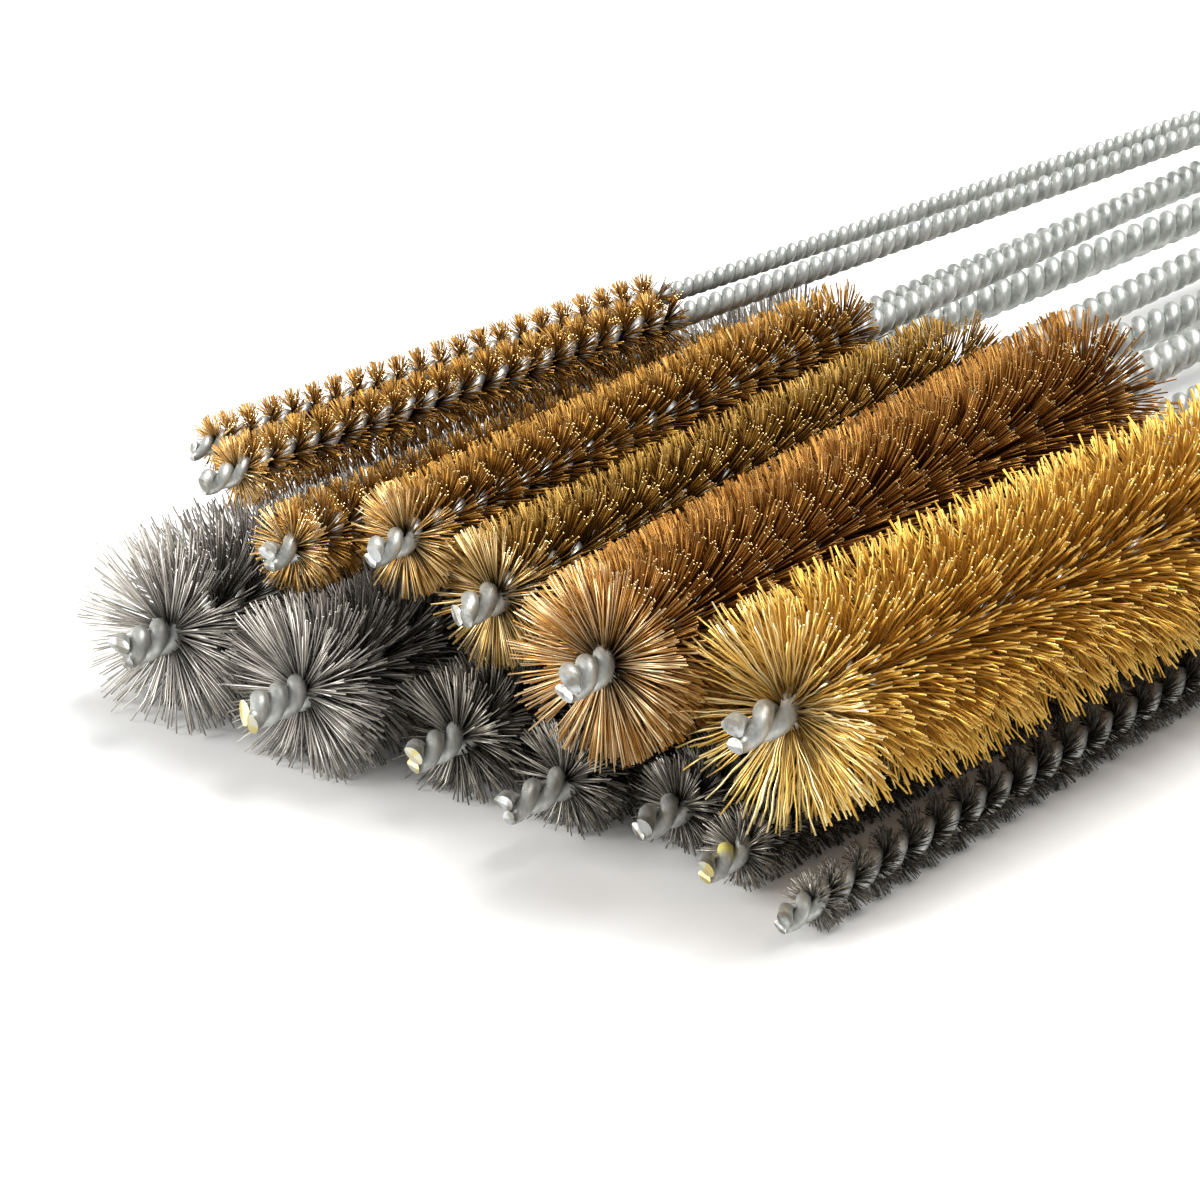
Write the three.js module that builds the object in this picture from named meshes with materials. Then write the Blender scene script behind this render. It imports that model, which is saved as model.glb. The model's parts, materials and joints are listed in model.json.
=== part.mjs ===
// A pile of fourteen twisted-in-wire tube brushes: seven filled with brass wire, seven with steel wire.
// Millimetres, +Z up. Every brush lies along +Y with its working tip towards -Y.
// A brush is three solids: two stem wires laid side by side, and the sleeve of filaments round them.

import * as THREE from 'three';

// ---- driving dimensions ----

const clearance = 0.3;             // between two pieces that lie against each other
const fillShare = 0.82;            // closed part of the fill, as a share of its radius over the filament tips
const tipStagger = 0.8;            // one cut end stands this much ahead of the other
const overallLength = 300;         // cut end to cut end
const endTaper = 0.14;             // bevel on both ends of a fill, as a share of its radius
const upperDroop = 2.0;            // degrees that the upper layer leans down towards its stem ends
const topDroop = 1.2;              // the same for the top pair
const fillSides = 20;
const stemSides = 8;               // round each half-round wire
const nudge = 0.05;                // the step in which a brush is moved until it lies clear

// Each brush has its size over the filament tips, the thickness of one stem wire, the bare length of
// stem ahead of the fill, and the filled length.

// The lower layer lies level on the table, from left to right. Each brush lies against the one before
// it, plus gap. tip is how far its cut end lies along +Y, and splay is how many degrees its stem
// points towards +X.
const lowerLayer = {
  steel_22: { size: 22, wire: 2.0, bare: 8.0, filled: 95, tip: -57.1, splay: 3.0, gap: 0 },
  steel_20: { size: 20, wire: 2.0, bare: 8.7, filled: 88, tip: -57.5, splay: 2.4, gap: 0 },
  steel_15: { size: 15, wire: 1.8, bare: 7.8, filled: 80, tip: -50.9, splay: 1.4, gap: 0 },
  steel_12: { size: 12.5, wire: 1.8, bare: 9.9, filled: 76, tip: -51.6, splay: 0.2, gap: 0 },
  steel_10: { size: 10.5, wire: 1.8, bare: 7.0, filled: 76, tip: -44.2, splay: -1.0, gap: 0 },
  steel_8: { size: 8.5, wire: 1.6, bare: 6.7, filled: 75, tip: -46.0, splay: -2.2, gap: 0 },
  steel_6: { size: 6, wire: 1.5, bare: 6.4, filled: 75, tip: -47.7, splay: -3.7, gap: 0.3 },
};

// The upper layer lies in the hollows of the lower one. over is the place of its tip across the lower
// layer: 1.25 is a quarter of the way from the second brush's tip to the third's. lift is how far the
// brushes beside it hold it up, and one that meets its right-hand neighbour is moved left.
const upperLayer = {
  brass_25: { size: 24, wire: 2.1, bare: 9.5, filled: 95, tip: -47.9, splay: -1.0, over: 5.46, lift: 2.5 },
  brass_20: { size: 20.5, wire: 2.0, bare: 7.8, filled: 88, tip: -53.0, splay: -6.2, over: 3.94, lift: 0.3 },
  brass_15: { size: 14.6, wire: 1.8, bare: 6.8, filled: 78, tip: -47.2, splay: -3.6, over: 2.27, lift: 1.0 },
  brass_12: { size: 12, wire: 1.6, bare: 6.7, filled: 73, tip: -49.1, splay: -3.6, over: 1.70, lift: 1.5 },
  brass_10: { size: 10, wire: 1.6, bare: 4.9, filled: 70, tip: -51.3, splay: -0.6, over: 1.03, lift: 0.5 },
};

// The top two lie across both layers.
const topPair = {
  brass_8: { size: 7.6, wire: 1.35, bare: 6.1, filled: 60, tip: -52.5, splay: 4.1, over: 0.41, lift: 0 },
  brass_6: { size: 6, wire: 1.1, bare: 4.2, filled: 61, tip: -42.8, splay: 5.6, over: -0.17, lift: 0 },
};

// ---- materials ----

const finishes = {
  wire: { color: 0xa9adb0, roughness: 0.38, metalness: 0.9 },
  brass: { color: 0xb98a3c, roughness: 0.42, metalness: 0.85 },
  steel: { color: 0x5d5b58, roughness: 0.5, metalness: 0.8 },
};

// ---- placing ----

const radians = THREE.MathUtils.degToRad;
const clamp01 = (t) => Math.min(1, Math.max(0, t));

// The direction from tip to stem end: splay turns it towards +X, droop lowers its far end.
function axisOf(brush) {
  const splay = radians(brush.splay);
  const droop = radians(brush.droop);
  return new THREE.Vector3(
    Math.sin(splay) * Math.cos(droop), Math.cos(splay) * Math.cos(droop), -Math.sin(droop));
}

// The two rods that a brush takes up: its fill and its whole stem.
function rodsOf(brush) {
  const axis = axisOf(brush);
  const at = (distance) => brush.place.clone().addScaledVector(axis, distance);
  return [
    { from: at(brush.bare), to: at(brush.bare + brush.filled), radius: brush.size / 2 * fillShare },
    { from: at(0), to: at(overallLength), radius: brush.wire },
  ];
}

// The least distance between two rods' centre lines: the free optimum of both parameters, clamped.
function distanceBetween(a, b) {
  const u = a.to.clone().sub(a.from);
  const v = b.to.clone().sub(b.from);
  const w = a.from.clone().sub(b.from);
  const uu = u.dot(u);
  const uv = u.dot(v);
  const vv = v.dot(v);
  const det = uu * vv - uv * uv;
  let s = det > 1e-9 ? clamp01((uv * v.dot(w) - vv * u.dot(w)) / det) : 0;
  const t = clamp01((uv * s + v.dot(w)) / vv);
  s = clamp01((uv * t - u.dot(w)) / uu);
  return w.addScaledVector(u, s).addScaledVector(v, -t).length();
}

function roomBetween(brush, other) {
  const rooms = rodsOf(brush).flatMap((a) =>
    rodsOf(other).map((b) => distanceBetween(a, b) - a.radius - b.radius));
  return Math.min(...rooms);
}

const liesClear = (brush, others, room) => others.every((other) => roomBetween(brush, other) >= room);

const lower = [];
for (const [name, row] of Object.entries(lowerLayer)) {
  const brush = { name, ...row, droop: 0, fill: 'steel' };
  const before = lower[lower.length - 1];
  brush.place = new THREE.Vector3(before ? before.place.x : 0, row.tip, row.size / 2 * fillShare);
  while (!liesClear(brush, lower, clearance + row.gap)) brush.place.x += nudge;
  lower.push(brush);
}

// The place across the pile of the lower layer's tips, carried on past its ends in a straight line.
function acrossAt(index) {
  const left = Math.min(lower.length - 2, Math.max(0, Math.floor(index)));
  return THREE.MathUtils.lerp(lower[left].place.x, lower[left + 1].place.x, index - left);
}

// Lowers a brush from above until it meets one of the others or the table.
function lowerOnto(brush, others) {
  const slope = Math.sin(radians(brush.droop));
  const headBehindTip = brush.bare + brush.filled;
  let blocked = Math.max(
    brush.wire + overallLength * slope, brush.size / 2 * fillShare + headBehindTip * slope);
  let free = blocked + 4 * lower[0].size;
  while (free - blocked > nudge / 4) {
    brush.place.z = (free + blocked) / 2;
    if (liesClear(brush, others, clearance)) free = brush.place.z;
    else blocked = brush.place.z;
  }
  brush.place.z = free + brush.lift;
}

function layOnTop(rows, droop, supports, neighbours) {
  for (const [name, row] of Object.entries(rows)) {
    const place = new THREE.Vector3(acrossAt(row.over), row.tip, 0);
    const brush = { name, ...row, droop, fill: 'brass', place };
    lowerOnto(brush, supports);
    while (!liesClear(brush, neighbours, clearance)) {
      brush.place.x -= nudge;
      lowerOnto(brush, supports);
    }
    neighbours.push(brush);
  }
}

const upper = [];
layOnTop(upperLayer, upperDroop, lower, upper);
const top = [];
layOnTop(topPair, topDroop, [...lower, ...upper], top);

// ---- shapes, made along +Z from the tip and then laid along the brush's axis ----

// One stem wire: a half-round bar, its flat half a clearance away from the stem's middle.
function stemWire(brush, start, turned) {
  const section = new THREE.Shape();
  section.absarc(0, clearance / 2, brush.wire - clearance / 2, 0, Math.PI, false);
  section.closePath();
  const shape = new THREE.ExtrudeGeometry(section, {
    depth: overallLength - start, steps: 1, curveSegments: stemSides, bevelEnabled: false,
  });
  shape.translate(0, 0, start);
  if (turned) shape.rotateZ(Math.PI);
  return shape;
}

// The fill: a thick sleeve round the stem with both ends bevelled, closed on itself.
function fillSleeve(brush) {
  const inner = brush.wire + clearance;
  const outer = brush.size / 2 * fillShare;
  const bevel = outer * endTaper;
  const end = brush.filled;
  const profile = [
    [inner, 0], [outer - bevel, 0], [outer, bevel],
    [outer, end - bevel], [outer - bevel, end], [inner, end], [inner, 0],
  ].map(([r, z]) => new THREE.Vector2(r, z));
  const shape = new THREE.LatheGeometry(profile, fillSides);
  shape.rotateX(Math.PI / 2);
  shape.translate(0, 0, brush.bare);
  return shape;
}

function piece(name, shape, finish) {
  const mesh = new THREE.Mesh(shape, new THREE.MeshStandardMaterial(finishes[finish]));
  mesh.name = name;
  return mesh;
}

function makeBrush(brush) {
  const group = new THREE.Group();
  group.add(
    piece(`${brush.name}_wire_a`, stemWire(brush, 0, false), 'wire'),
    piece(`${brush.name}_wire_b`, stemWire(brush, tipStagger, true), 'wire'),
    piece(`${brush.name}_fill`, fillSleeve(brush), brush.fill),
  );
  const axis = axisOf(brush);
  const across = new THREE.Vector3(Math.cos(radians(brush.splay)), -Math.sin(radians(brush.splay)), 0);
  const up = axis.clone().cross(across);
  group.quaternion.setFromRotationMatrix(new THREE.Matrix4().makeBasis(across, up, axis));
  group.position.copy(brush.place);
  return group;
}

const pile = new THREE.Group();
for (const brush of [...lower, ...upper, ...top]) pile.add(makeBrush(brush));

// The origin is on the table, under the middle of the pile's box.
pile.updateMatrixWorld(true);
const box = new THREE.Box3().setFromObject(pile, true);
const middle = box.getCenter(new THREE.Vector3());
pile.position.set(-middle.x, -middle.y, -box.min.z);
pile.updateMatrixWorld(true);

export default pile;
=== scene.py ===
"""Fourteen loose twisted-in-wire tube brushes, seven filled with brass wire and seven with steel wire.

Each brush is two galvanised wires twisted into a left-handed rope, with thousands of fine filaments
gripped between them. Shapes are worked out in millimetres and put into the meshes in metres.
"""
import json

import bpy
import numpy as np
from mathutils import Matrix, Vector

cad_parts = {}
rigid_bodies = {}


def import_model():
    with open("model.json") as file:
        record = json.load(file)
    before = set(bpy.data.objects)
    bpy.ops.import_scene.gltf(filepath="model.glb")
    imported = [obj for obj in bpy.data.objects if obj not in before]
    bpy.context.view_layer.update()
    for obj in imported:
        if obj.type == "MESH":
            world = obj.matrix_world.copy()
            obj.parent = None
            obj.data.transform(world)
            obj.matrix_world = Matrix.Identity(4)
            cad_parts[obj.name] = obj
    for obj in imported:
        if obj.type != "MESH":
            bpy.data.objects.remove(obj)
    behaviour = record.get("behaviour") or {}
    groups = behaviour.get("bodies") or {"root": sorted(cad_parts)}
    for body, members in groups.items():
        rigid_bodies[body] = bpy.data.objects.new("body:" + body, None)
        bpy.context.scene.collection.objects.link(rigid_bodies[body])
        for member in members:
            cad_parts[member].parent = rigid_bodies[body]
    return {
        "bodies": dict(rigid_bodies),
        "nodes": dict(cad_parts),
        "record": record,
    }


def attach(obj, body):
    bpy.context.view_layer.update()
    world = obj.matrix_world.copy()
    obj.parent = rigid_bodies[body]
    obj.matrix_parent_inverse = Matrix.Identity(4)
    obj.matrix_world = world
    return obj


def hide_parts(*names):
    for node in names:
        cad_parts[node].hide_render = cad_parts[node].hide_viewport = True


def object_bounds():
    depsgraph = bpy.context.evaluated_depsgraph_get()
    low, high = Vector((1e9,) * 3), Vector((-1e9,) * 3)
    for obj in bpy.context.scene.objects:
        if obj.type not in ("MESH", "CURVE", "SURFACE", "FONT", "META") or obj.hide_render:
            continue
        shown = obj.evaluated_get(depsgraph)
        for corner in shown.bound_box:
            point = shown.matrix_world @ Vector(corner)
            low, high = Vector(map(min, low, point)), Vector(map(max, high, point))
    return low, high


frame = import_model()
cad_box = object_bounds()

MM = 0.001

# ---- what all the brushes share ----

CLOSED_SHARE = 0.82          # the frame's sleeves reach this share of the filament tips' radius
STRAND_SIDES = 12            # round one stem wire
STATIONS_PER_TURN = 12       # along one stem wire
STEM_SAMPLES = 20            # entries in the twist's table for each mm of stem
TIP_OFFSET = 0.57            # from the stem's axis to a wire's middle at the tip, in wire diameters
CLOSE_OFFSET = 0.505         # the same where the wires lie against each other
STEM_LAY = 1.41              # half a turn of the bare stem behind the fill, in wire diameters
LOOSE = 1.25                 # how much longer half a turn is at the very tip, where the wires spring open
LOOSE_LENGTH = 2.0           # of stem that springs open, mm
PINCH = (0.84, 1.14)         # cutters squeeze a wire's end to this share of its width, and spread it
SQUARED = (0.6, 0.4, 0.2)    # how far the first rings of a wire are turned square to the stem
SLOT = 0.11                  # half the gap that the filaments hold open between the wires, mm
EASE = 3.0                   # how far into the fill, and how far behind it, the lay changes, mm
EASE_AHEAD = 1.0             # how far ahead of the fill it starts to change, mm
GRIP_EASE = 1.5              # how far into the fill the wires come fully apart round the filaments, mm
WEDGE = np.radians(13)       # slope of the two facets that side cutters leave on a wire
FLARE_RANGE = (0.1, 1.35)    # a filament takes a share of the flare between these
FLARE_REACH = 2.6            # how far into the fill its ends fan out, mm
CREEP = 1.0                  # the first filaments creep this far out of the twist towards the tip, mm
CROWD = 0.035                # share of the filaments that crowd together at the front
CROWD_REACH = 0.9            # how far the crowd reaches into the fill, mm
PAINTED_FRONT_LIGHT = 0.5             # painted light: how much brighter the front filaments are made, for the light falling on the front discs, as a share of the range
PAINTED_FRONT_LIGHT_REACH = 3.0            # how far that painted light reaches behind the front, into the fill, mm
END_SPREAD = 3               # how many times wider the filaments scatter round the stem at the front
STRAY_SHARE = 0.03           # of the filaments are stray, with more scatter
STRAY_LEAN = np.radians(9)   # their further scatter along the stem
STRAY_SWING = np.radians(12)     # and round it
LENGTH_RANGE = (-0.22, 0.10)     # how far the filament lengths may scatter, as a share of the radius
BEND = 0.025                 # scatter of the filaments' bends, as a share of the radius
TABLE_GAP = 0.06             # between the table and a filament that bends along it, mm

# What differs from brush to brush:
#   turn     angle of the first wire's cut end round the stem, degrees
#   tip_lay  half a turn of the twist ahead of the fill, mm
#   lay      half a turn of the twist inside the fill, mm
#   dense    filaments per mm of fill, counted on both sides of the stem
#   thick    filament diameter, mm
#   lean     scatter of the filaments along the stem, degrees
#   swing    scatter of the filaments round the stem, degrees
#   flare    how far the two ends of the fill fan outwards, degrees
#   uneven   scatter of the filament lengths, as a share of the radius
HABITS = {
    "steel_22": dict(turn=-75, tip_lay=2.6, lay=4.3, dense=60, thick=0.19,
                     lean=4.5, swing=24, flare=15, uneven=0.050),
    "steel_20": dict(turn=30, tip_lay=2.6, lay=4.2, dense=66, thick=0.19,
                     lean=4.0, swing=26, flare=12, uneven=0.035),
    "steel_15": dict(turn=-45, tip_lay=2.85, lay=3.9, dense=54, thick=0.18,
                     lean=5.0, swing=22, flare=12, uneven=0.060),
    "steel_12": dict(turn=-75, tip_lay=3.7, lay=3.7, dense=50, thick=0.17,
                     lean=5.0, swing=20, flare=12, uneven=0.060),
    "steel_10": dict(turn=-20, tip_lay=3.3, lay=3.5, dense=48, thick=0.16,
                     lean=4.5, swing=20, flare=10, uneven=0.045),
    "steel_8": dict(turn=-40, tip_lay=2.8, lay=3.3, dense=48, thick=0.15,
                    lean=4.5, swing=18, flare=10, uneven=0.045),
    "steel_6": dict(turn=-30, tip_lay=2.9, lay=4.4, dense=58, thick=0.12,
                    lean=9.5, swing=18, flare=8, uneven=0.110),
    "brass_25": dict(turn=-70, tip_lay=4.3, lay=4.2, dense=52, thick=0.24,
                     lean=6.0, swing=28, flare=17, uneven=0.055),
    "brass_20": dict(turn=-30, tip_lay=2.8, lay=4.1, dense=84, thick=0.19,
                     lean=1.8, swing=20, flare=13, uneven=0.018),
    "brass_15": dict(turn=5, tip_lay=2.95, lay=3.6, dense=66, thick=0.19,
                     lean=3.2, swing=18, flare=14, uneven=0.035),
    "brass_12": dict(turn=-30, tip_lay=3.0, lay=3.5, dense=62, thick=0.18,
                     lean=2.8, swing=16, flare=12, uneven=0.030),
    "brass_10": dict(turn=-60, tip_lay=3.2, lay=3.5, dense=58, thick=0.16,
                     lean=4.5, swing=14, flare=11, uneven=0.035),
    "brass_8": dict(turn=-20, tip_lay=2.4, lay=3.3, dense=60, thick=0.145,
                    lean=9.5, swing=10, flare=8, uneven=0.035),
    "brass_6": dict(turn=80, tip_lay=2.0, lay=2.9, dense=56, thick=0.13,
                    lean=10.0, swing=10, flare=7, uneven=0.035),
}
CRIMPED = "brass_25"         # the one brush whose filaments are crimped
CRIMP = 0.10                 # how far a crimp stands off the filament's line, mm
SEGMENTS, CRIMPED_SEGMENTS = 3, 6    # straight pieces that a filament is made of
FIRST_SEED = 100             # each brush's random draws start from this plus its number
DABBED = "steel_8"           # its second wire has a dab of yellow paint behind the tip
MARKED = ("steel_20", "steel_15", "steel_8")     # their cut ends carry a dab of yellow paint


# ---- reading the frame ----

def points_of(node):
    """The vertices of a CAD node, in millimetres."""
    vertices = frame["nodes"][node].data.vertices
    points = np.empty(len(vertices) * 3)
    vertices.foreach_get("co", points)
    return points.reshape(-1, 3) / MM


def read_brush(name):
    """A brush's own axes and sizes. The basis rows are across, up and axis; axis runs from the tip to
    the stem end, as the mount on the stem end points. The radius over the filament tips is half the
    spread of the sleeve across the axis, over the closed share. Half the spread of both wires upwards
    is one wire's diameter."""
    mount = next(m for m in frame["record"]["mounts"] if m["name"] == f"{name}_stem_end")
    axis = np.array(mount["axis"], float)
    axis /= np.linalg.norm(axis)
    across = np.array((axis[1], -axis[0], 0.0))
    across /= np.linalg.norm(across)
    basis = np.array((across, np.cross(axis, across), axis))
    fill, wire_a, wire_b = (points_of(f"{name}_{part}") @ basis.T for part in ("fill", "wire_a", "wire_b"))
    stem = np.concatenate((wire_a, wire_b))
    low, high = fill.min(0), fill.max(0)
    tip = stem[:, 2].min()
    return dict(
        HABITS[name], name=name, basis=basis,
        origin=np.array(((low[0] + high[0]) / 2, (low[1] + high[1]) / 2, tip)) @ basis,
        length=stem[:, 2].max() - tip,
        stagger=wire_b[:, 2].min() - tip,
        fill_from=low[2] - tip,
        fill_to=high[2] - tip,
        radius=(high[0] - low[0]) / 2 / CLOSED_SHARE,
        wire=np.ptp(stem[:, 1]) / 2,
    )


def place(brush, local):
    """Points given along the brush's own axes, carried to their place in the pile."""
    return brush["origin"] + local @ brush["basis"]


# ---- the twist ----

def add_twist(brush):
    """The turn of the wires and their distance from the axis, tabulated along the stem. Half a turn takes
    one lay, so the angle falls by pi over the lay for each millimetre: a left-handed rope."""
    wire, start, end = brush["wire"], brush["fill_from"], brush["fill_to"]
    along = np.linspace(0, brush["length"], int(brush["length"] * STEM_SAMPLES) + 1)
    tip_lay, fill_lay = brush["tip_lay"], brush["lay"]
    lay = np.interp(
        along,
        [0, LOOSE_LENGTH, start - EASE_AHEAD, start + EASE, end - EASE, end + EASE],
        [LOOSE * tip_lay, tip_lay, tip_lay, fill_lay, fill_lay, STEM_LAY * wire])
    rate = np.pi / lay
    steps = np.diff(along) * (rate[1:] + rate[:-1]) / 2
    close, gripped = CLOSE_OFFSET * wire, wire / 2 + SLOT
    brush["along"] = along
    brush["angle"] = np.radians(brush["turn"]) - np.concatenate(([0], np.cumsum(steps)))
    brush["offset"] = np.interp(
        along,
        [0, LOOSE_LENGTH, start - EASE_AHEAD, start + GRIP_EASE, end - GRIP_EASE, end + EASE],
        [TIP_OFFSET * wire, close, close, gripped, gripped, close])


def strand(brush, start, opposite):
    """One stem wire from its cut end at start to the stem end. The centre line is a helix whose angle and
    distance from the axis come from the twist, with stations at equal turns. Each ring is a circle round
    it, spanned by the outward direction and the one square to it and to the line. The first rings slide
    along the line by a share of what brings them square to the stem, as both wires are cut across at
    once. The very first is squeezed to an oval, and the second about half as much. The first also runs
    forward, up to a ridge across its middle: each point by the wire's radius less its distance from
    the ridge, times the wedge's slope. Gives back the rings, the ridge, the ring's points to the right
    of the ridge, and where every point lies on the straightened wire."""
    radius = brush["wire"] / 2
    angle_from = np.interp(start, brush["along"], brush["angle"])
    turns = (angle_from - brush["angle"][-1]) / (2 * np.pi)
    angles = np.linspace(angle_from, brush["angle"][-1], int(turns * STATIONS_PER_TURN) + 2)
    stations = np.interp(-angles, -brush["angle"], brush["along"])
    offset = np.interp(stations, brush["along"], brush["offset"])
    facing = angles + (np.pi if opposite else 0)
    outward = np.stack((np.cos(facing), np.sin(facing), np.zeros_like(facing)), 1)
    centre = outward * offset[:, None]
    centre[:, 2] = stations
    tangent = np.gradient(centre, axis=0)
    tangent /= np.linalg.norm(tangent, axis=1)[:, None]
    outward -= tangent * (outward * tangent).sum(1)[:, None]
    outward /= np.linalg.norm(outward, axis=1)[:, None]
    sideways = np.cross(tangent, outward)
    around = (np.arange(STRAND_SIDES) + 0.5) * 2 * np.pi / STRAND_SIDES
    u, v = radius * np.cos(around), radius * np.sin(around)
    squeeze = np.ones((len(centre), 2))
    squeeze[0], squeeze[1] = PINCH, np.sqrt(PINCH)
    rings = (centre[:, None]
             + (squeeze[:, :1] * u)[..., None] * outward[:, None]
             + (squeeze[:, 1:] * v)[..., None] * sideways[:, None])
    quarter = np.arange(STRAND_SIDES // 4)
    right = np.concatenate((quarter[::-1], STRAND_SIDES - 1 - quarter))
    ridge = centre[0] + PINCH[1] * v[right, None] * sideways[0]
    ridge -= tangent[0] * (SQUARED[0] * (ridge - centre[0])[:, 2] / tangent[0, 2])[:, None]
    ridge[:, 2] -= radius * np.tan(WEDGE)
    for ring, share in enumerate(SQUARED):
        ahead = (rings[ring] - centre[ring])[:, 2] / tangent[ring, 2]
        rings[ring] -= tangent[ring] * (share * ahead)[:, None]
    rings[0][:, 2] -= (radius - np.abs(u)) * np.tan(WEDGE)
    lengths = np.concatenate(([0], np.cumsum(np.linalg.norm(np.diff(centre, axis=0), axis=1))))
    cylinder = np.empty(rings.shape)
    cylinder[..., 0], cylinder[..., 1], cylinder[..., 2] = u, v, lengths[:, None]
    on_ridge = np.stack((np.zeros(len(right)), v[right], np.zeros(len(right))), 1)
    return rings, ridge, right, np.concatenate((cylinder.reshape(-1, 3), on_ridge))


def strand_faces(station_count, right):
    """Quads between neighbouring rings, the two facets of the cut end from the rim to the ridge, a
    triangle at each end of the ridge, and one flat face on the stem end."""
    sides = STRAND_SIDES
    ring, side = np.meshgrid(np.arange(station_count - 1), np.arange(sides), indexing="ij")
    here, beside = ring * sides + side, ring * sides + (side + 1) % sides
    wall = np.stack((here, beside, beside + sides, here + sides), -1).reshape(-1, 4)
    left = (sides // 2 - 1 - right) % sides
    ridge = station_count * sides + np.arange(len(right))
    facets = np.concatenate((
        np.stack((right[:-1], ridge[:-1], ridge[1:], right[1:]), 1),
        np.stack((left[1:], ridge[1:], ridge[:-1], left[:-1]), 1)))
    corners = np.array((
        (right[0], left[0], ridge[0]),
        (left[-1], right[-1], ridge[-1])))
    tail = (station_count - 1) * sides + np.arange(sides)
    return wall, facets, corners, tail


# ---- the filaments ----

def filaments(brush, seed):
    """Filaments as closed three-sided prisms. One leaves the axis square to the line between the wires,
    at the twist's angle there plus or minus a quarter turn, so that they stand in two spiral fins. Its
    centre line at a distance r from the axis moves along the stem by r times the tangent of its lean,
    and bends both ways by a little, as the square of its share of the reach. Crimps zigzag off that
    line. More filaments crowd together at the front, where they scatter further round the stem and are
    painted brighter, all falling off with the distance behind the front. That brightening is painted
    light, standing in for the light that falls on the front discs; the rest of a filament's tone is a
    random shade."""
    draw = np.random.default_rng(seed)
    crimped = brush["name"] == CRIMPED
    segments = CRIMPED_SEGMENTS if crimped else SEGMENTS
    start, end, radius = brush["fill_from"] - CREEP, brush["fill_to"], brush["radius"]
    count = int(brush["dense"] * (end - start))
    base = start + (np.arange(count) + draw.random(count)) / count * (end - start)
    crowded = draw.random(count) < CROWD
    base = np.where(crowded, start + draw.exponential(CROWD_REACH, count), base)
    side = np.where(np.arange(count) % 2, np.pi / 2, -np.pi / 2)
    front = np.exp(-(base - start) / CROWD_REACH)
    swing = draw.normal(0, np.radians(brush["swing"]), count) * (1 + END_SPREAD * front)
    theta = np.interp(base, brush["along"], brush["angle"]) + side + swing
    flare = np.radians(brush["flare"])
    forward = np.exp(-(base - start) / FLARE_REACH) * draw.uniform(*FLARE_RANGE, count)
    backward = np.exp(-(end - base) / FLARE_REACH) * draw.uniform(*FLARE_RANGE, count)
    lean = draw.normal(0, np.radians(brush["lean"]), count) + flare * (backward - forward)
    stray = draw.random(count) < STRAY_SHARE
    lean += stray * draw.normal(0, STRAY_LEAN, count)
    theta += stray * draw.normal(0, STRAY_SWING, count)
    reach = radius * (1 + np.clip(draw.normal(0, brush["uneven"], count), *LENGTH_RANGE))
    bend_round = draw.normal(0, BEND, count) * radius
    bend_along = draw.normal(0, BEND, count) * radius
    roll = draw.uniform(0, 2 * np.pi, count)
    # Painted light: the front filaments get a higher tone, standing in for the light that falls on the front
    # discs; the rest of the tone is each filament's random shade.
    tone_and_painted_light = PAINTED_FRONT_LIGHT * np.exp(-(base - start) / PAINTED_FRONT_LIGHT_REACH) + (1 - PAINTED_FRONT_LIGHT) * draw.random(count)

    share = np.linspace(0, 1, segments + 1)
    out = np.stack((np.cos(theta), np.sin(theta), np.zeros(count)), 1)
    around = np.stack((-np.sin(theta), np.cos(theta), np.zeros(count)), 1)
    axis = np.array((0.0, 0.0, 1.0))
    r = reach[:, None] * np.cos(lean)[:, None] * share
    slide = base[:, None] + np.tan(lean)[:, None] * r + bend_along[:, None] * share ** 2
    turn_aside = bend_round[:, None] * share ** 2
    if crimped:
        zigzag = CRIMP * np.where(np.arange(segments + 1) % 2, 1, -1) * (share > 0)
        turn_aside = turn_aside + zigzag * np.cos(roll)[:, None]
        slide = slide + zigzag * np.sin(roll)[:, None]
    line = out[:, None] * r[..., None] + around[:, None] * turn_aside[..., None]
    line = line + axis * slide[..., None]
    line = place(brush, line)
    half = brush["thick"] / 2
    line[..., 2] = np.maximum(line[..., 2], half + TABLE_GAP)

    corner = roll[:, None] + np.arange(3) * 2 * np.pi / 3
    spoke = (np.cos(corner)[..., None] * around[:, None] + np.sin(corner)[..., None] * axis) @ brush["basis"]
    points = line[:, :, None] + half * spoke[:, None]
    levels = np.broadcast_to(share[None, :, None], points.shape[:3])
    tones_and_painted_light = np.broadcast_to(tone_and_painted_light[:, None, None], points.shape[:3])
    return points.reshape(-1, 3), count, segments, levels.ravel(), tones_and_painted_light.ravel()


def filament_faces(count, segments):
    """Three walls for each segment of each prism, and a triangle on each end."""
    first = np.arange(count) * (segments + 1) * 3
    level, side = np.meshgrid(np.arange(segments), np.arange(3), indexing="ij")
    here, beside = (level * 3 + side).ravel(), (level * 3 + (side + 1) % 3).ravel()
    wall = first[:, None, None] + np.stack((here, beside, beside + 3, here + 3), 1)
    root = first[:, None] + np.array((2, 1, 0))
    cut = first[:, None] + segments * 3 + np.array((0, 1, 2))
    return wall.reshape(-1, 4), root, cut


# ---- meshes ----

def signed_volume(points, triangles):
    """Six times the volume that closed triangles enclose: the triple product of each one's corners,
    summed. It is negative if they face inwards."""
    a, b, c = (points[triangles[:, i]] for i in range(3))
    return np.einsum("ij,ij->i", a, np.cross(b, c)).sum()


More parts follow.
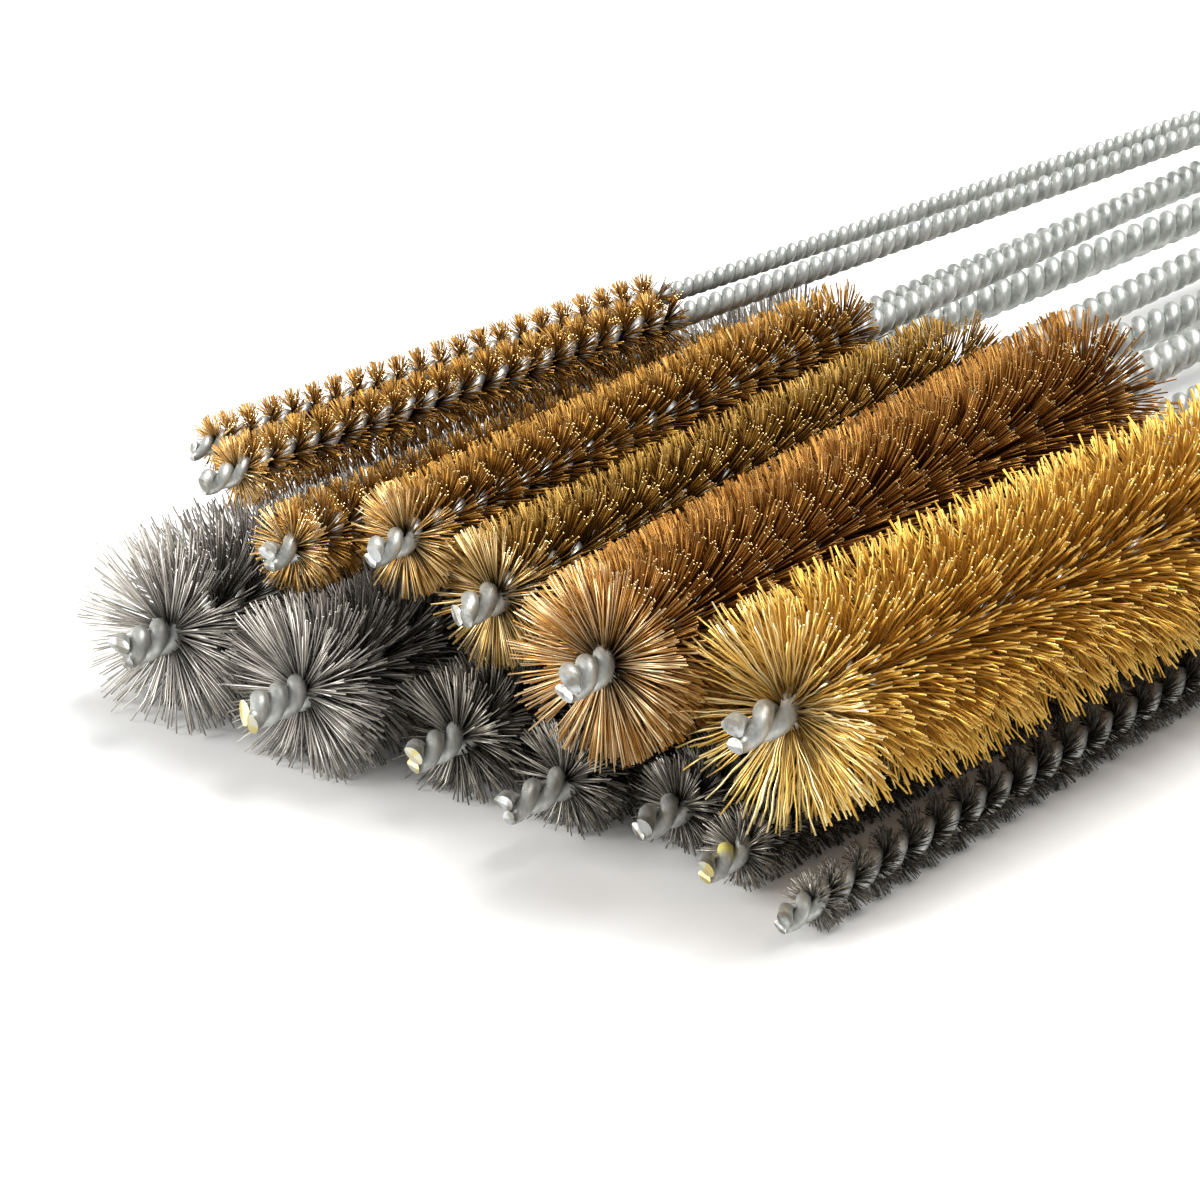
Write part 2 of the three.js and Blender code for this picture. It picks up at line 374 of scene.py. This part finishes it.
def make_mesh(name, points, groups, materials):
    """A mesh from points in millimetres and groups of (faces, material number, smooth). All the faces of a
    group have the same number of corners. If the closed surface encloses a negative volume, every face
    is turned round."""
    centred = points - points.mean(0)
    fans = [faces[:, [0, i, i + 1]] for faces, _, _ in groups for i in range(1, faces.shape[1] - 1)]
    if signed_volume(centred, np.concatenate(fans)) < 0:
        groups = [(faces[:, ::-1], material, smooth) for faces, material, smooth in groups]
    sizes = np.concatenate([np.full(len(faces), faces.shape[1]) for faces, _, _ in groups])
    corners = np.concatenate([faces.ravel() for faces, _, _ in groups]).astype(np.int32)
    mesh = bpy.data.meshes.new(name)
    mesh.vertices.add(len(points))
    mesh.vertices.foreach_set("co", (points * MM).astype(np.float32).ravel())
    mesh.loops.add(len(corners))
    mesh.loops.foreach_set("vertex_index", corners)
    mesh.polygons.add(len(sizes))
    mesh.polygons.foreach_set("loop_start", np.concatenate(([0], np.cumsum(sizes)[:-1])).astype(np.int32))
    numbers = np.concatenate([np.full(len(faces), material) for faces, material, _ in groups])
    mesh.polygons.foreach_set("material_index", numbers.astype(np.int32))
    smooths = np.concatenate([np.full(len(faces), smooth) for faces, _, smooth in groups])
    mesh.polygons.foreach_set("use_smooth", smooths.astype(bool))
    mesh.update(calc_edges=True)
    for material in materials:
        mesh.materials.append(material)
    return mesh


def make_piece(mesh, body, node):
    """Puts a mesh into the scene in place of a CAD node, on the same body."""
    piece = bpy.data.objects.new(mesh.name, mesh)
    bpy.context.scene.collection.objects.link(piece)
    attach(piece, body)
    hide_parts(node)


def make_strand(brush, letter, start, opposite, materials):
    """One stem wire as a piece. Its finish runs along the wire by an attribute, strand, which says where
    each point lies on the straightened wire, in mm."""
    rings, ridge, right, cylinder = strand(brush, start, opposite)
    wall, facets, corners, tail = strand_faces(len(rings), right)
    points = place(brush, np.concatenate((rings.reshape(-1, 3), ridge)))
    groups = [(wall, 0, True), (facets, 1, False), (corners, 1, False), (tail[None], 1, False)]
    mesh = make_mesh(f"{brush['name']}_strand_{letter}", points, groups, materials)
    unrolled = mesh.attributes.new("strand", "FLOAT_VECTOR", "POINT")
    unrolled.data.foreach_set("vector", cylinder.astype(np.float32).ravel())
    node = f"{brush['name']}_wire_{letter}"
    make_piece(mesh, brush["name"], node)


def make_filaments(brush, seed, materials):
    """A whole fill as one piece. Its finish takes two attributes: reach, which is 0 at a filament's root
    and 1 at its tip, and the tone, which is one number for each filament: a random shade plus the
    painted light that brightens the front filaments."""
    points, count, segments, levels, tones_and_painted_light = filaments(brush, seed)
    wall, root, cut = filament_faces(count, segments)
    groups = [(wall, 0, True), (root, 0, True), (cut, 1, False)]
    mesh = make_mesh(f"{brush['name']}_filaments", points, groups, materials)
    for name, values in (("reach", levels), ("tone_and_painted_light", tones_and_painted_light)):
        mesh.attributes.new(name, "FLOAT", "POINT").data.foreach_set("value", values.astype(np.float32))
    make_piece(mesh, brush["name"], f"{brush['name']}_fill")


# ---- materials ----

NOISE_TOP = 0.75             # a noise texture seldom goes above this
SMEAR_EDGE = 0.12            # how softly a smear on a cut face ends, on the noise's scale
TARNISH = 0.8                # how far the patches of tarnish shift a filament's tone, on their noise's scale
DARK_ROUGHER = 0.14          # how much rougher the darkest filaments are than the brightest


def colour(hex_code):
    """A colour written as sRGB hex, as linear red, green, blue and alpha."""
    encoded = np.array([int(hex_code[i:i + 2], 16) / 255 for i in (1, 3, 5)])
    linear = np.where(encoded <= 0.04045, encoded / 12.92, ((encoded + 0.055) / 1.055) ** 2.4)
    return (*linear.tolist(), 1.0)


def add(tree, kind, inputs=None, stops=None, **settings):
    """Adds a node, sets its properties, and sets or links its inputs. stops are a ramp's places and
    colours."""
    made = tree.nodes.new(kind)
    for name, value in settings.items():
        setattr(made, name, value)
    for key, value in (inputs or {}).items():
        if isinstance(value, bpy.types.NodeSocket):
            tree.links.new(value, made.inputs[key])
        else:
            made.inputs[key].default_value = value
    if stops:
        elements = made.color_ramp.elements
        while len(elements) < len(stops):
            elements.new(1.0)
        for element, (at, shade) in zip(elements, stops):
            element.position, element.color = at, colour(shade)
    return made


def new_material(name):
    """An empty material and its node tree."""
    material = bpy.data.materials.new(name)
    material.use_nodes = True
    material.node_tree.nodes.clear()
    return material, material.node_tree


def finish_material(tree, shader):
    add(tree, "ShaderNodeOutputMaterial", {"Surface": shader.outputs["BSDF"]})


def per_mm(count):
    """The Scale of a pattern on Object coordinates, which are in metres, with count features in each mm."""
    return count / MM


def galvanised_wire(name, dab_at=None):
    """Drawn steel wire with a zinc coat: satin and pale, with soft zinc patches about 1 mm across and
    faint lines along the wire from the drawing die, and dull where the twisting rubbed it. dab_at is how
    far from the cut end, in mm, the middle of a dab of yellow marking paint is. The dab is whole for
    0.6 mm to each side of that and gone at 1.5 mm."""
    material, tree = new_material(name)
    along = add(tree, "ShaderNodeAttribute", attribute_name="strand")
    squeeze = add(tree, "ShaderNodeMapping", {"Vector": along.outputs["Vector"], "Scale": (1, 1, 0.09)})
    lines = add(tree, "ShaderNodeTexNoise", {"Vector": squeeze.outputs[0], "Scale": 7.0, "Detail": 3.0})
    patches = add(tree, "ShaderNodeTexNoise", {
        "Vector": along.outputs["Vector"], "Scale": 0.9, "Detail": 4.0, "Roughness": 0.6})
    tint = add(tree, "ShaderNodeValToRGB", {"Fac": patches.outputs["Fac"]}, stops=[
        (0.30, "#989A98"), (0.48, "#B5B7B2"), (0.66, "#D2D3CE")])
    dull = add(tree, "ShaderNodeMapRange", {
        "Value": patches.outputs["Fac"], "From Min": 0.3, "From Max": 0.7, "To Min": 0.52, "To Max": 0.38})
    height = add(tree, "ShaderNodeMath", {
        0: lines.outputs["Fac"], 1: patches.outputs["Fac"]}, operation="ADD")
    bump = add(tree, "ShaderNodeBump", {
        "Height": height.outputs[0], "Strength": 0.25, "Distance": 0.05 * MM})
    tint, bare_metal = tint.outputs["Color"], 0.72
    if dab_at is not None:
        length = add(tree, "ShaderNodeSeparateXYZ", {"Vector": along.outputs["Vector"]}).outputs["Z"]
        off = add(tree, "ShaderNodeMath", {0: length, 1: dab_at}, operation="SUBTRACT")
        away = add(tree, "ShaderNodeMath", {0: off.outputs[0]}, operation="ABSOLUTE")
        bare = add(tree, "ShaderNodeMapRange", {
            "Value": away.outputs[0], "From Min": 0.6, "From Max": 1.5})
        tint = add(tree, "ShaderNodeMix", {
            0: bare.outputs[0], 6: colour("#CFC46A"), 7: tint}, data_type="RGBA").outputs[2]
        bare_metal = add(tree, "ShaderNodeMath", {
            0: bare.outputs[0], 1: bare_metal}, operation="MULTIPLY").outputs[0]
    finish_material(tree, add(tree, "ShaderNodeBsdfPrincipled", {
        "Base Color": tint, "Metallic": bare_metal, "Roughness": dull.outputs[0],
        "Normal": bump.outputs[0]}))
    return material


def cut_wire(name, clean, smear, amount):
    """Steel wire bitten off by side cutters: two bright facets with crush marks about 0.5 mm across, where
    bare steel or a dab of marking paint shows. The larger amount is, the more of the face the second
    colour covers."""
    material, tree = new_material(name)
    place_on = add(tree, "ShaderNodeTexCoord").outputs["Object"]
    crush = add(tree, "ShaderNodeTexNoise", {"Vector": place_on, "Scale": per_mm(2.2), "Detail": 4.0})
    blot = add(tree, "ShaderNodeTexNoise", {"Vector": place_on, "Scale": per_mm(0.55), "Detail": 2.0})
    edge = (1 - amount) * NOISE_TOP
    cover = add(tree, "ShaderNodeMapRange", {
        "Value": blot.outputs["Fac"], "From Min": edge, "From Max": edge + SMEAR_EDGE})
    tint = add(tree, "ShaderNodeMix", {
        0: cover.outputs[0], 6: colour(clean), 7: colour(smear)}, data_type="RGBA")
    bump = add(tree, "ShaderNodeBump", {
        "Height": crush.outputs["Fac"], "Strength": 0.5, "Distance": 0.08 * MM})
    dull = add(tree, "ShaderNodeMapRange", {"Value": crush.outputs["Fac"], "To Min": 0.35, "To Max": 0.65})
    finish_material(tree, add(tree, "ShaderNodeBsdfPrincipled", {
        "Base Color": tint.outputs[2], "Metallic": 1.0, "Roughness": dull.outputs[0],
        "Normal": bump.outputs[0]}))
    return material


def fine_wire(name, shades, root, rough):
    """Fine drawn wire: every filament has its own shade, from dark to bright, set by its tone, which also
    carries painted light: the front filaments are raised towards the bright end and the body behind
    keeps mostly to the dark half, as painted shade. Each filament is darker towards the stem, which is
    painted shade for the deep spaces between the filaments there, along with dirt and drawing grease.
    Patches about 3 mm across are more tarnished. rough is the roughness of the brightest filaments,
    and the darkest are rougher."""
    material, tree = new_material(name)
    tone_and_painted_light = add(tree, "ShaderNodeAttribute", attribute_name="tone_and_painted_light").outputs["Fac"]
    reach = add(tree, "ShaderNodeAttribute", attribute_name="reach").outputs["Fac"]
    place_on = add(tree, "ShaderNodeTexCoord").outputs["Object"]
    patches = add(tree, "ShaderNodeTexNoise", {"Vector": place_on, "Scale": per_mm(0.33), "Detail": 3.0})
    shifted = add(tree, "ShaderNodeMath", {
        0: patches.outputs["Fac"], 1: TARNISH, 2: -TARNISH / 2}, operation="MULTIPLY_ADD")
    mixed = add(tree, "ShaderNodeMath", {0: tone_and_painted_light, 1: shifted.outputs[0]}, operation="ADD", use_clamp=True)
    tint = add(tree, "ShaderNodeValToRGB", {"Fac": mixed.outputs[0]}, stops=list(zip((0, 0.5, 1), shades)))
    # Painted shade with dirt: each filament darkens towards the root colour near the stem, where the spaces
    # between the filaments are deep.
    clean = add(tree, "ShaderNodeMapRange", {"Value": reach, "From Min": 0.05, "From Max": 0.65})
    shade = add(tree, "ShaderNodeMix", {
        0: clean.outputs[0], 6: colour(root), 7: tint.outputs["Color"]}, data_type="RGBA")
    dull = add(tree, "ShaderNodeMapRange", {
        "Value": mixed.outputs[0], "To Min": rough + DARK_ROUGHER, "To Max": rough})
    finish_material(tree, add(tree, "ShaderNodeBsdfPrincipled", {
        "Base Color": shade.outputs[2], "Metallic": 1.0, "Roughness": dull.outputs[0]}))
    return material


def cut_filament(name, shade, bright):
    """The sheared ends of the filaments: small clean facets that glint. Their colour follows the filament's
    tone, so they share its painted light and are brighter at the front.
    """
    material, tree = new_material(name)
    tone_and_painted_light = add(tree, "ShaderNodeAttribute", attribute_name="tone_and_painted_light").outputs["Fac"]
    tint = add(tree, "ShaderNodeValToRGB", {"Fac": tone_and_painted_light}, stops=[(0, shade), (1, bright)])
    dull = add(tree, "ShaderNodeMapRange", {"Value": tone_and_painted_light, "To Min": 0.45, "To Max": 0.18})
    finish_material(tree, add(tree, "ShaderNodeBsdfPrincipled", {
        "Base Color": tint.outputs["Color"], "Metallic": 1.0, "Roughness": dull.outputs[0]}))
    return material


# ---- the pile ----

wire_finish = galvanised_wire("hot_dip_galvanised_drawn_wire")
dabbed_wire = galvanised_wire("galvanised_wire_with_dab_of_paint", dab_at=4.2)
clean_cut = cut_wire("side_cut_bright_steel", "#B4B7B5", "#7E7B73", 0.40)
painted_cut = cut_wire("side_cut_steel_with_marking_paint", "#C2C2B2", "#C0B278", 0.45)
brass_ends = cut_filament("sheared_brass_filament_ends", "#E6C27E", "#FFF0C8")
steel_ends = cut_filament("sheared_steel_filament_ends", "#6E6B67", "#BDBBB7")

# The last colour of each fine wire is its colour at the stem: painted shade for the deep spaces between the
# filaments, along with dirt.
yellow_brass = fine_wire("crimped_yellow_brass_wire", ("#CE9C40", "#ECC468", "#FFF0BC"), "#80591C", 0.34)
red_brass = fine_wire("drawn_red_brass_wire", ("#744819", "#BC8A48", "#F8DEB0"), "#361B07", 0.34)
olive_brass = fine_wire("drawn_dull_brass_wire", ("#7C5A22", "#BE9750", "#F4DCAA"), "#483514", 0.36)
amber_brass = fine_wire("drawn_amber_brass_wire", ("#80561F", "#C2944C", "#F2D6A0"), "#40270D", 0.36)
# grey_steel is a lighter copy of dark_steel: painted light for the two steel brushes at the left of the
# front row, which the light from the left falls on, while dark_steel is painted shade for the steel brushes
# lying under the brass ones.
grey_steel = fine_wire("drawn_grey_steel_wire", ("#68635C", "#A6A198", "#E4DFD6"), "#55504A", 0.46)
dark_steel = fine_wire("drawn_dark_steel_wire", ("#46423B", "#7C776D", "#BFB9AD"), "#28251F", 0.46)

# The two steel brushes at the left of the front row take the lighter steel as painted light; the other steel
# brushes take the darker one, as painted shade.
FINISHES = {
    "brass_25": yellow_brass, "brass_20": red_brass, "brass_15": olive_brass,
    "steel_22": grey_steel, "steel_20": grey_steel,
}

for number, body in enumerate(frame["bodies"]):
    brush = read_brush(body)
    add_twist(brush)
    cut = painted_cut if body in MARKED else clean_cut
    make_strand(brush, "a", 0, False, (wire_finish, cut))
    second_finish = dabbed_wire if body == DABBED else wire_finish
    make_strand(brush, "b", brush["stagger"], True, (second_finish, cut))
    brass = body.startswith("brass")
    finish = FINISHES.get(body, amber_brass if brass else dark_steel)
    make_filaments(brush, FIRST_SEED + number, (finish, brass_ends if brass else steel_ends))


# ---- floor, light and camera ----

def make_floor():
    """A pale matt table with a barely visible grain, far wider than the pile."""
    half = 4.0
    mesh = bpy.data.meshes.new("table_top")
    corners = [(-half, -half, 0), (half, -half, 0), (half, half, 0), (-half, half, 0)]
    mesh.from_pydata(corners, [], [(0, 1, 2, 3)])
    material, tree = new_material("matt_white_laminate")
    place_on = add(tree, "ShaderNodeTexCoord").outputs["Object"]
    grain = add(tree, "ShaderNodeTexNoise", {"Vector": place_on, "Scale": per_mm(0.05), "Detail": 2.0})
    tint = add(tree, "ShaderNodeValToRGB", {"Fac": grain.outputs["Fac"]}, stops=[
        (0.0, "#F4F4F3"), (1.0, "#F8F8F7")])
    finish_material(tree, add(tree, "ShaderNodeBsdfPrincipled", {
        "Base Color": tint.outputs["Color"], "Roughness": 0.6}))
    mesh.materials.append(material)
    floor = bpy.data.objects.new("table_top", mesh)
    bpy.context.scene.collection.objects.link(floor)


def aim(thing, target):
    """Turns a light or a camera so that it points at the target."""
    thing.rotation_mode = "QUATERNION"
    thing.rotation_quaternion = (target - thing.location).to_track_quat("-Z", "Y")


def soft_light(name, location, size, power, target):
    """A square soft box: size is its side in metres and power is in watts."""
    lamp = bpy.data.lights.new(name, "AREA")
    lamp.shape, lamp.size, lamp.energy = "SQUARE", size, power
    light = bpy.data.objects.new(name, lamp)
    light.location = location
    aim(light, target)
    bpy.context.scene.collection.objects.link(light)


def make_world(strength):
    """An even white sky all round."""
    world = bpy.data.worlds.new("pale_studio")
    world.use_nodes = True
    background = world.node_tree.nodes["Background"]
    background.inputs["Color"].default_value = colour("#FFFFFF")
    background.inputs["Strength"].default_value = strength
    bpy.context.scene.world = world


HEADS_ACROSS = -23.1         # from the middle of the pile's box to where the camera looks, mm
HEADS_BACK = 57.5            # the same from the box's front, mm

low, high = cad_box
heads = Vector(((low.x + high.x) / 2 + HEADS_ACROSS * MM, low.y + HEADS_BACK * MM, 0))
make_floor()
make_world(strength=0.52)
soft_light("top_and_back", heads + Vector((0.05, 0.50, 0.92)), size=0.6, power=14, target=heads)
soft_light("front_left", heads + Vector((-0.70, -0.90, 0.30)), size=0.8, power=22, target=heads)

AZIMUTH, ELEVATION = np.radians(42), np.radians(25)
DISTANCE = 0.850             # from the heads to the camera, m
LENS = 239.7                 # focal length, mm
lens = bpy.data.cameras.new("camera")
lens.lens, lens.sensor_width, lens.clip_start, lens.clip_end = LENS, 36, 0.05, 30
camera = bpy.data.objects.new("camera", lens)
camera.location = heads + DISTANCE * Vector((
    np.sin(AZIMUTH) * np.cos(ELEVATION), -np.cos(AZIMUTH) * np.cos(ELEVATION), np.sin(ELEVATION)))
aim(camera, heads)
bpy.context.scene.collection.objects.link(camera)
bpy.context.scene.camera = camera
bpy.context.scene.view_settings.view_transform = "Standard"
